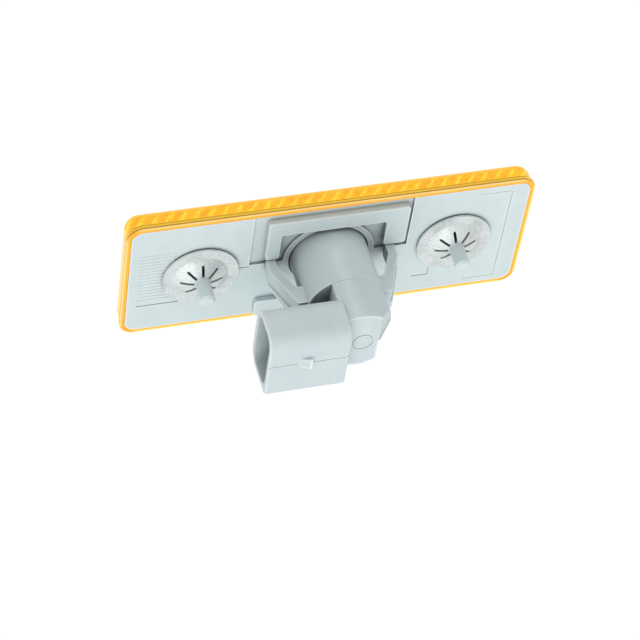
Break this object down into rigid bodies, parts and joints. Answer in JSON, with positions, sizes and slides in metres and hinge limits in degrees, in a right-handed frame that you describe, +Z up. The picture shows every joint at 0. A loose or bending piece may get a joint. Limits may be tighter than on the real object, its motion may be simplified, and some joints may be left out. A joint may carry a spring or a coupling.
{
  "type": "side marker lamp",
  "caption": "Amber side marker lamp: lens on a grey back plate with push-nut studs and a quarter-turn bulb holder that ends in a connector shroud.",
  "frame": {"origin": "midway between the two studs, in the plane of the back face that seats on the body panel", "axes": "+X along the lamp towards the connector's mouth, +Y out of the back along the studs, +Z up as mounted"},
  "size_m": [0.1078, 0.0419, 0.0404],
  "materials": {
    "lens": "clear amber moulding",
    "housing": "fine satin moulding",
    "bulb_holder": "fine satin moulding",
    "bulb": "clear",
    "holder_seal": "matt",
    "terminal": "tinned",
    "push_nut": "zinc plated"
  },
  "bodies": {
    "root": {"lens": "lens", "housing": "housing", "bulb_holder": "bulb_holder", "bulb": "bulb", "holder_seal": "holder_seal", "terminal_upper": "terminal", "terminal_lower": "terminal", "push_nut_left": "push_nut", "push_nut_right": "push_nut"}
  },
  "joints": []
}
